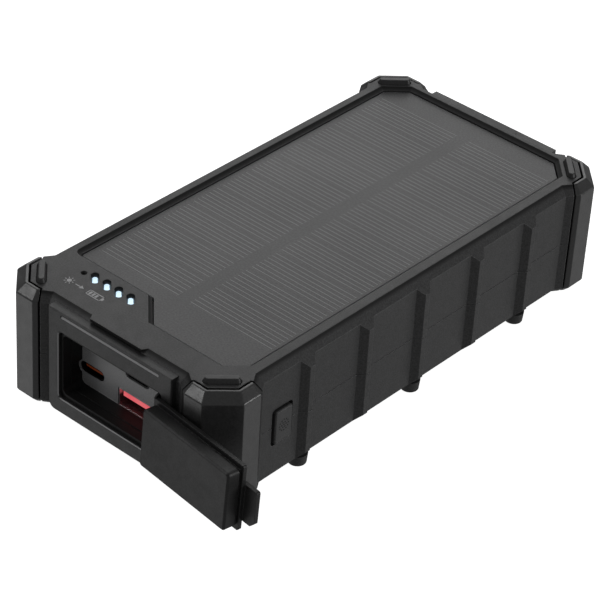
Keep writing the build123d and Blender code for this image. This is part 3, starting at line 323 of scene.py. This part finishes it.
def red_with_painted_glow(name):
    """Red moulding: the tongue's end has a painted glow in its colour and its emission,
    and the back wall is painted deep red as shade.
    """
    g = Graph(name)
    cloud = g.noise(2.5, detail=2.0, rough=0.5)
    fine = g.noise(0.3, detail=2.0, rough=0.5)
    # painted glow on the tongue's end, painted shade on the back wall behind it
    end = g.math("LESS_THAN", g.along(1), TONGUE_END * MM)
    light = g.mix(g.spread(cloud), (0.95, 0.13, 0.16), (0.98, 0.2, 0.22))
    colour = g.mix(end, (0.28, 0.012, 0.022), light)
    g.join(colour, g.bsdf.inputs["Base Color"])
    g.join(colour, g.bsdf.inputs["Emission Color"])
    g.join(g.ranged(end, 0.0, 1.0, 0.02, 0.55), g.bsdf.inputs["Emission Strength"])
    g.join(g.spread(fine, 0.32, 0.44), g.bsdf.inputs["Roughness"])
    g.join(g.bump(fine, 0.006, strength=0.5), g.bsdf.inputs["Normal"])
    return g.mat


# ---------------------------------------------------------------- painted shade and painted highlight, in mm
WALLS_FRONT = 81.1
WALLS_HALF = 19.8
WALLS_HEIGHT = (7.8, 31.2)
# heights of the band of painted shade under the top face's edge
PAINTED_SHADE_BAND = (37.5, 38.3)
BAND_END = 38.64  # just under the top face
PANEL_FACE = (-73.7, -73.3)
GROOVE_DEPTH = (81.3, 81.97)
GROOVE_HEIGHT = (35.56, 36.2)
GROOVE_HALF = 18.3
REBATE_DEPTH = (81.72, 81.97)
REBATE_FOOT = (7.95, 8.35)
REBATE_SIDE = (19.35, 19.75)
REBATE_HEIGHT = (7.9, 31.1)


def painted_shade_in_bay(g):
    """The opening's inner walls, behind the bezel's front face, where shade is painted in dark."""
    depth = g.math("ABSOLUTE", g.along(1))
    across = g.math("ABSOLUTE", g.along(0))
    both = g.math("MULTIPLY", g.inside(depth, 0.0, WALLS_FRONT), g.inside(across, -1.0, WALLS_HALF))
    return g.math("MULTIPLY", both, g.inside(g.along(2), *WALLS_HEIGHT))


def painted_shade_under_top_edge(g):
    """The band just under the top face's outer edge, darkened as painted shade in place of a rounding
    there.
    """
    height = g.along(2)
    band = g.ranged(height, *(level * MM for level in PAINTED_SHADE_BAND))
    return g.math("MULTIPLY", band, g.math("LESS_THAN", height, BAND_END * MM), clamp=True)


def painted_shade_off_panel_face(g):
    """The port panel's side walls and holes, but not its flat face, where shade is painted in dark."""
    return g.math("SUBTRACT", 1.0, g.inside(g.along(1), *PANEL_FACE))


def painted_highlight_on_bezel(g):
    """The slope of the groove under the bezel's top edge and the sloping edge of the flap's rebate,
    where a highlight is painted in bright.
    """
    depth = g.inside(g.math("ABSOLUTE", g.along(1)), *GROOVE_DEPTH)
    high = g.inside(g.along(2), *GROOVE_HEIGHT)
    across = g.inside(g.along(0), -GROOVE_HALF, GROOVE_HALF)
    slope = g.math("MULTIPLY", g.math("MULTIPLY", depth, high), across)
    rebate_depth = g.inside(g.math("ABSOLUTE", g.along(1)), *REBATE_DEPTH)
    foot = g.inside(g.along(2), *REBATE_FOOT)
    side = g.inside(g.math("ABSOLUTE", g.along(0)), *REBATE_SIDE)
    beside = g.math("MULTIPLY", side, g.inside(g.along(2), *REBATE_HEIGHT))
    rebate = g.math("MULTIPLY", rebate_depth, g.math("MAXIMUM", foot, beside))
    return g.math("MAXIMUM", slope, rebate)


# ---------------------------------------------------------------- one look for each material slot
BLACK = (0.0295, 0.0295, 0.03)
LOOKS = {
    "shell_plastic": moulded(
        "shell_plastic", tint(BLACK, 1.3), 0.5, 0.45, wear_and_highlight_gain=3.4, edge_mm=0.28, painted_shade=painted_shade_under_top_edge
    ),
    "bumper_rubber": moulded(
        "bumper_rubber", tint(BLACK, 0.6), 0.35, 0.6, grain_depth=0.024, wear_and_highlight_gain=3.2, specular=1.0
    ),
    "pad_rubber": moulded(
        "pad_rubber", tint(BLACK, 1.0), 0.42, 0.25, grain_depth=0.008, wear_and_highlight_gain=3.5, edge_mm=0.35
    ),
    "foot_rubber": moulded("foot_rubber", tint(BLACK, 1.3), 0.6, 0.3, grain_depth=0.012),
    "bezel_plastic": moulded(
        "bezel_plastic",
        tint(BLACK, 1.1),
        0.46,
        0.3,
        grain_depth=0.01,
        edge_mm=0.1,
        painted_shade=painted_shade_in_bay,
        painted_highlight=painted_highlight_on_bezel,
    ),
    "panel_plastic": moulded(
        "panel_plastic",
        tint(BLACK, 10.0),
        0.42,
        0.3,
        grain_depth=0.008,
        wear_and_highlight_gain=1.2,
        edge_mm=0.15,
        painted_shade=painted_shade_off_panel_face,
    ),
    "flap_rubber": moulded("flap_rubber", tint(BLACK, 0.55), 0.5, 0.4, grain_depth=0.012),
    "button_plastic": moulded(
        "button_plastic", tint(BLACK, 1.5), 0.44, 0.28, grain_depth=0.008, wear_and_highlight_gain=3.2, edge_mm=0.35
    ),
    "plunger_plastic": moulded("plunger_plastic", tint(BLACK, 1.2), 0.5),
    "laminate": laminate("laminate"),
    "cell_silicon": plain("cell_silicon", (0.02, 0.022, 0.03), 0.3, grain_mm=0.8),
    "backing_sheet": plain("backing_sheet", (0.05, 0.05, 0.05), 0.6),
    "connector_steel": metal("connector_steel", (0.55, 0.55, 0.57), 0.32),
    "switch_steel": metal("switch_steel", (0.5, 0.5, 0.52), 0.35),
    "screw_steel": metal("screw_steel", (0.42, 0.42, 0.44), 0.38),
    "capacitor_can": metal("capacitor_can", (0.66, 0.66, 0.68), 0.3),
    "cell_pouch": metal("cell_pouch", (0.55, 0.56, 0.6), 0.4, brushed=(4.0, 1.0, 4.0)),
    "reflector": metal("reflector", (0.8, 0.8, 0.82), 0.16),
    "lead_copper": plain("lead_copper", (0.7, 0.4, 0.22), 0.35, metallic=1.0),
    "circuit_board": board("circuit_board"),
    "tongue_orange": plain("tongue_orange", (0.6, 0.11, 0.03), 0.4),
    "tongue_black": plain("tongue_black", (0.015, 0.015, 0.015), 0.4),
    "insert_red": red_with_painted_glow("insert_red"),
    "adhesive_tape": plain("adhesive_tape", (0.62, 0.61, 0.58), 0.7),
    "led_chip": plain("led_chip", (0.85, 0.8, 0.45), 0.3),
    "ferrite": plain("ferrite", (0.1, 0.1, 0.105), 0.6),
    "chip_epoxy": plain("chip_epoxy", (0.03, 0.03, 0.032), 0.5),
    "foam": plain("foam", (0.08, 0.08, 0.085), 0.95, grain_mm=0.9, depth=0.15),
    "seal_rubber": moulded("seal_rubber", tint(BLACK, 0.8), 0.6),
    "indicator_clear": plain("indicator_clear", (0.012, 0.011, 0.012), 0.25),
    "lens_clear": plain("lens_clear", (0.75, 0.78, 0.8), 0.35, grain_mm=0.6, depth=0.02, clear=0.35),
    "guide_clear": glowing("guide_clear", (0.64, 0.84, 1.0), 1.05),
}
for entry in frame["record"]["subparts"]:
    mesh = nodes[entry["node"]].data
    mesh.materials.clear()
    mesh.materials.append(LOOKS[entry["material_slot"]])
DARK_SHELL = metal("blackened_steel", (0.03, 0.03, 0.031), 0.35)
for level_name in ("lower", "upper"):
    nodes[f"oval_port_shell_{level_name}"].data.materials[0] = DARK_SHELL


# ---------------------------------------------------------------- soft edges on what shows
WELD_GAP = 0.005
SHARP_DEGREES = 28


def soften(node, width_mm, steps=2):
    """Small real roundings along a CAD piece's edges, as a mould leaves them."""
    piece = nodes[node]
    weld = piece.modifiers.new("weld", "WELD")
    weld.merge_threshold = WELD_GAP * MM
    bevel = piece.modifiers.new("soft_edges", "BEVEL")
    bevel.width = width_mm * MM
    bevel.segments = steps
    bevel.limit_method = "ANGLE"
    bevel.angle_limit = math.radians(SHARP_DEGREES)
    bevel.harden_normals = True
    bevel.use_clamp_overlap = True


for end in ("front", "rear"):
    for side in ("left", "right"):
        soften(f"bumper_{end}_{side}", 0.45, 3)
        soften(f"pad_{end}_{side}", 0.12)
soften("button_cap", 0.2)


# ---------------------------------------------------------------- mesh helpers
def new_object(name, bm, material):
    """A mesh object in the scene, with the working mesh freed."""
    mesh = bpy.data.meshes.new(name)
    bm.to_mesh(mesh)
    bm.free()
    mesh.materials.append(material)
    made = bpy.data.objects.new(name, mesh)
    scene.collection.objects.link(made)
    return made


def new_piece(name, bm, material, body):
    """A finished, flat-shaded mesh object that rides on a body."""
    piece = new_object(name, bm, material)
    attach(piece, body)


def block(bm, low, high):
    """A closed box between two corners, in metres."""
    corners = [(x, y, z) for x in (low[0], high[0]) for y in (low[1], high[1]) for z in (low[2], high[2])]
    v = [bm.verts.new(c) for c in corners]
    for face in ((0, 1, 3, 2), (4, 6, 7, 5), (0, 4, 5, 1), (2, 3, 7, 6), (0, 2, 6, 4), (1, 5, 7, 3)):
        bm.faces.new([v[i] for i in face])


# ---------------------------------------------------------------- fired finger lines on the solar cells
top_of_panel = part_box("solar_laminate")[1].z
COLUMNS = ((-31.7, -2.3), (2.4, 32.2))
ROWS = 10
ROW_PITCH = 12.17
FIRST_LINE = 65.9
LINES = 7
LINE_PITCH = 1.6
LINE_WIDE = 0.16
LINE_SUNK = 0.03
LINE_PROUD = 0.012
lines = bmesh.new()
for row in range(ROWS):
    for line in range(LINES):
        y = FIRST_LINE - row * ROW_PITCH - line * LINE_PITCH
        for low, high in COLUMNS:
            block(
                lines,
                (low * MM, (y - LINE_WIDE / 2) * MM, top_of_panel - LINE_SUNK * MM),
                (high * MM, (y + LINE_WIDE / 2) * MM, top_of_panel + LINE_PROUD * MM),
            )
LINE_LOOK = printed("finger_line", (0.3, 0.3, 0.31), 0.4)
new_piece("panel_finger_lines", lines, LINE_LOOK, "charger")


# ---------------------------------------------------------------- printed marks and the button's sign
PRINT_SUNK = 0.03
PRINT_PROUD = 0.012
TOP = 38.7
MARK_Y = -71.1
SUN_X = -26.3
SUN_RADIUS = 0.72
RAYS = 8
RAY_RING = 1.3
RAY_LONG = 0.55
RAY_WIDE = 0.26
ARROW_X = -22.9
ARROW_LONG = 2.0
HEAD_BACK = 0.9
HEAD_TIP = 2.2
HEAD_HALF = 0.75
BATTERY_X = -16.4
BATTERY_LONG = 5.4
BATTERY_HALF = 1.0
TERMINAL_LONG = 0.5
TERMINAL_WIDE = 1.0
CHARGE_BARS = (-1.65, -0.5, 0.65)
CHARGE_BAR_LONG = 0.75
CHARGE_BAR_WIDE = 1.3
STROKE = 0.3
SIGN_RINGS = ((1, 0.0), (6, 0.85), (12, 1.75))  # dots, distance from the middle
SIGN_DOT = 0.25


def prism(bm, outline, place):
    """A thin plate with this outline; place turns (across, up, proud) in mm into a point in metres."""
    rings = [[bm.verts.new(place(a, b, c)) for a, b in outline] for c in (-PRINT_SUNK, PRINT_PROUD)]
    bm.faces.new(rings[0][::-1])
    bm.faces.new(rings[1])
    for i in range(len(outline)):
        j = (i + 1) % len(outline)
        bm.faces.new((rings[0][i], rings[0][j], rings[1][j], rings[1][i]))


def bar(a, b, long, wide, turn=0.0):
    """Outline of a rectangle with its middle at (a, b)."""
    c, s = math.cos(turn), math.sin(turn)
    corners = ((-long / 2, -wide / 2), (long / 2, -wide / 2), (long / 2, wide / 2), (-long / 2, wide / 2))
    return [(a + x * c - y * s, b + x * s + y * c) for x, y in corners]


def disc(a, b, radius, sides=20):
    steps = [t * math.tau / sides for t in range(sides)]
    return [(a + radius * math.cos(t), b + radius * math.sin(t)) for t in steps]


def on_top(a, b, proud):
    return (a * MM, b * MM, (TOP + proud) * MM)


marks = bmesh.new()
prism(marks, disc(SUN_X, MARK_Y, SUN_RADIUS), on_top)
for ray in range(RAYS):
    turn = ray * math.tau / RAYS
    ray_x = SUN_X + RAY_RING * math.cos(turn)
    ray_y = MARK_Y + RAY_RING * math.sin(turn)
    prism(marks, bar(ray_x, ray_y, RAY_LONG, RAY_WIDE, turn), on_top)
prism(marks, bar(ARROW_X, MARK_Y, ARROW_LONG, STROKE), on_top)
arrow_head = [
    (ARROW_X + HEAD_BACK, MARK_Y - HEAD_HALF),
    (ARROW_X + HEAD_TIP, MARK_Y),
    (ARROW_X + HEAD_BACK, MARK_Y + HEAD_HALF),
]
prism(marks, arrow_head, on_top)
for up in (-BATTERY_HALF, BATTERY_HALF):
    prism(marks, bar(BATTERY_X, MARK_Y + up, BATTERY_LONG, STROKE), on_top)
for along in ((STROKE - BATTERY_LONG) / 2, (BATTERY_LONG - STROKE) / 2):
    prism(marks, bar(BATTERY_X + along, MARK_Y, STROKE, 2 * BATTERY_HALF + STROKE), on_top)
terminal_x = BATTERY_X + (BATTERY_LONG + TERMINAL_LONG) / 2
prism(marks, bar(terminal_x, MARK_Y, TERMINAL_LONG, TERMINAL_WIDE), on_top)
for along in CHARGE_BARS:
    prism(marks, bar(BATTERY_X + along, MARK_Y, CHARGE_BAR_LONG, CHARGE_BAR_WIDE), on_top)
MARK_LOOK = printed("mark_ink", (0.5, 0.5, 0.51), 0.55)
new_piece("charge_mark", marks, MARK_LOOK, "charger")

button_low, button_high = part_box("button_cap")
button_mid = (button_low + button_high) / 2


def on_button(a, b, proud):
    return (button_high.x + proud * MM, button_mid.y + a * MM, button_mid.z + b * MM)


sign = bmesh.new()
for count, ring in SIGN_RINGS:
    for k in range(count):
        turn = k * math.tau / count
        prism(sign, disc(ring * math.cos(turn), ring * math.sin(turn), SIGN_DOT, sides=10), on_button)
SIGN_LOOK = printed("sign_ink", (0.005, 0.005, 0.005), 0.75)
new_piece("button_sign", sign, SIGN_LOOK, "button")


# ---------------------------------------------------------------- contacts inside the ports
GOLD = metal("contact_gold", (0.85, 0.6, 0.25), 0.28, brushed=(1.0, 8.0, 1.0))
CONTACT_START = 0.5
CONTACT_END = 5.2
CONTACT_HALF = 0.04  # half its thickness
CONTACT_EDGE = 0.015


def contact_row(name, node, count, pitch, wide, levels):
    """Flat contacts laid along a tongue at these heights in mm, with their edges broken."""
    low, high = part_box(node)
    middle = (low.x + high.x) / 2
    rows = bmesh.new()
    for k in range(count):
        x = middle + (k - (count - 1) / 2) * pitch * MM
        for level in levels:
            start = (x - wide / 2 * MM, low.y + CONTACT_START * MM, (level - CONTACT_HALF) * MM)
            end = (x + wide / 2 * MM, low.y + CONTACT_END * MM, (level + CONTACT_HALF) * MM)
            block(rows, start, end)
    bmesh.ops.bevel(rows, geom=rows.edges[:], offset=CONTACT_EDGE * MM, segments=1, affect="EDGES")
    new_piece(name, rows, GOLD, "charger")


OVAL_LEVELS = {"lower": 15.35, "upper": 22.2}
TONGUE_HALF = 0.35
WIDE_UNDER = 12.6
WIDE_OVER = 14.7
for level_name, level in OVAL_LEVELS.items():
    both_faces = (level - TONGUE_HALF, level + TONGUE_HALF)
    tongue = f"oval_port_tongue_{level_name}"
    contact_row(f"oval_contacts_{level_name}", tongue, count=10, pitch=0.55, wide=0.26, levels=both_faces)
contact_row("wide_contacts", "wide_port_insert", count=4, pitch=2.4, wide=1.0, levels=(WIDE_UNDER,))
contact_row("wide_springs", "wide_port_insert", count=5, pitch=1.9, wide=0.5, levels=(WIDE_OVER,))


# ---------------------------------------------------------------- living hinge between the bay and the flap
HINGE_MIDDLE_Z = 19.5
HINGE_LEAN = 0.058
HINGE_HALF = 0.27  # half its thickness
HINGE_ROUTE = (  # x, y, and how far the point belongs to the flap
    (18.3, -80.95, 0.0),
    (18.3, -81.8, 0.0),
    (18.2, -82.6, 0.25),
    (18.2, -83.05, 0.5),
    (18.42, -83.36, 0.8),
    (18.75, -83.44, 1.0),
    (19.15, -83.46, 1.0),
)
HINGE_LOW = -9.6
HINGE_HIGH = 10.6
HINGE_FLAP_LOW = -9.9
HINGE_FLAP_HIGH = 9.2
HINGE_ROWS = 14


def web_sheet(web, face_side):
    """One broad face of the web: a column of points at each point of the route."""
    sheet = []
    for i, (x, y, flapward) in enumerate(HINGE_ROUTE):
        before = Vector(HINGE_ROUTE[max(i - 1, 0)][:2])
        after = Vector(HINGE_ROUTE[min(i + 1, len(HINGE_ROUTE) - 1)][:2])
        run = (after - before).normalized()
        low = HINGE_LOW + (HINGE_FLAP_LOW - HINGE_LOW) * flapward
        high = HINGE_HIGH + (HINGE_FLAP_HIGH - HINGE_HIGH) * flapward
        column = []
        for row in range(HINGE_ROWS + 1):
            up = low + (high - low) * row / HINGE_ROWS
            px = x + face_side * HINGE_HALF * run.y
            py = y - face_side * HINGE_HALF * run.x + HINGE_LEAN * up * flapward
            column.append(web.verts.new((px * MM, py * MM, (HINGE_MIDDLE_Z + up) * MM)))
        sheet.append(column)
    return sheet


def close_web(web, inner, outer):
    """Faces over both broad sides, the two long edges and the two ends."""
    for i in range(len(HINGE_ROUTE) - 1):
        for row in range(HINGE_ROWS):
            web.faces.new((inner[i][row], inner[i + 1][row], inner[i + 1][row + 1], inner[i][row + 1]))
            web.faces.new((outer[i][row], outer[i][row + 1], outer[i + 1][row + 1], outer[i + 1][row]))
        for row in (0, HINGE_ROWS):
            web.faces.new((inner[i][row], inner[i + 1][row], outer[i + 1][row], outer[i][row]))
    for i in (0, len(HINGE_ROUTE) - 1):
        for row in range(HINGE_ROWS):
            web.faces.new((inner[i][row], inner[i][row + 1], outer[i][row + 1], outer[i][row]))
    bmesh.ops.recalc_face_normals(web, faces=web.faces[:])


hinge_mesh = bmesh.new()
inner_sheet = web_sheet(hinge_mesh, -1)
outer_sheet = web_sheet(hinge_mesh, 1)
close_web(hinge_mesh, inner_sheet, outer_sheet)
hinge_web = new_object("hinge_web", hinge_mesh, LOOKS["flap_rubber"])
hinge_web.data.shade_smooth()
hinge_web.data.set_sharp_from_angle(angle=math.radians(50))
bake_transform(hinge_web)


# ---------------------------------------------------------------- floor, light and camera
FLOOR_HALF = 4.0
FLOOR_GLOW = 0.95
LIGHTS_AIM = (0, 0, 0.02)
LIGHTS = (  # name, place and size in metres, power
    ("behind_left", (-0.8, 0.95, 0.9), (1.3, 1.1), 5.1),
    ("behind_left_low", (-1.1, 1.2, 0.5), (1.0, 0.6), 1.7),
    ("front_left", (-0.75, -0.83, 0.9), (0.35, 0.35), 1.9),
    ("right", (1.1, 0.5, 0.25), (0.4, 0.4), 3.7),
    ("bounce_behind", (0.65, 0.8, -0.65), (0.7, 0.7), 0.5),
    ("bounce_front", (-0.65, -0.8, -0.65), (0.7, 0.7), 1.0),
)
SKY_ON_OBJECT = 0.2
SKY_BEHIND = 1.0
AZIMUTH, ELEVATION, ROLL = (math.radians(d) for d in (39.903, 35.328, 3.6566))
CAMERA_PLACE = (0.40155, -0.48254, 0.4537)
LENS_MM = 156.79
SENSOR_MM = 36.0


def floor():
    g = Graph("studio_floor")
    cloud = g.noise(180.0, detail=2.0, rough=0.5)
    tone = g.mix(g.spread(cloud), (0.86, 0.86, 0.86), (0.88, 0.88, 0.88))
    g.join(tone, g.bsdf.inputs["Base Color"])
    g.bsdf.inputs["Roughness"].default_value = 0.9
    g.bsdf.inputs["Emission Color"].default_value = (1, 1, 1, 1)
    g.bsdf.inputs["Emission Strength"].default_value = FLOOR_GLOW
    bm = bmesh.new()
    bmesh.ops.create_grid(bm, x_segments=4, y_segments=4, size=FLOOR_HALF)
    ground = new_object("studio_floor", bm, g.mat)
    ground.visible_diffuse = False
    ground.visible_glossy = False
    ground.visible_shadow = False


def area_light(name, place, size, power):
    data = bpy.data.lights.new(name, "AREA")
    data.shape = "RECTANGLE"
    data.size, data.size_y = size
    data.energy = power
    lamp = bpy.data.objects.new(name, data)
    lamp.location = place
    lamp.rotation_mode = "QUATERNION"
    lamp.rotation_quaternion = (Vector(LIGHTS_AIM) - Vector(place)).to_track_quat("-Z", "Y")
    scene.collection.objects.link(lamp)


floor()
for light_name, light_place, light_size, light_power in LIGHTS:
    area_light(light_name, light_place, light_size, light_power)

world = bpy.data.worlds.new("studio")
world.use_nodes = True
sky = world.node_tree
seen = sky.nodes.new("ShaderNodeLightPath").outputs["Is Camera Ray"]
strength = sky.nodes.new("ShaderNodeMapRange")
strength.inputs["To Min"].default_value = SKY_ON_OBJECT
strength.inputs["To Max"].default_value = SKY_BEHIND
sky.links.new(seen, strength.inputs["Value"])
sky.nodes["Background"].inputs[0].default_value = (1, 1, 1, 1)
sky.links.new(strength.outputs[0], sky.nodes["Background"].inputs[1])
scene.world = world
scene.view_settings.view_transform = "Standard"

reach = math.cos(ELEVATION)
back = Vector((math.sin(AZIMUTH) * reach, -math.cos(AZIMUTH) * reach, math.sin(ELEVATION)))
sideways = Vector((math.cos(AZIMUTH), math.sin(AZIMUTH), 0))
upward = back.cross(sideways)
across = math.cos(ROLL) * sideways + math.sin(ROLL) * upward
upright = math.cos(ROLL) * upward - math.sin(ROLL) * sideways
camera_data = bpy.data.cameras.new("camera")
camera_data.lens = LENS_MM
camera_data.sensor_width = SENSOR_MM
camera_data.clip_start = 0.01
camera = bpy.data.objects.new("camera", camera_data)
turned = Matrix((across, upright, back)).transposed().to_4x4()
camera.matrix_world = Matrix.Translation(CAMERA_PLACE) @ turned
scene.collection.objects.link(camera)
scene.camera = camera
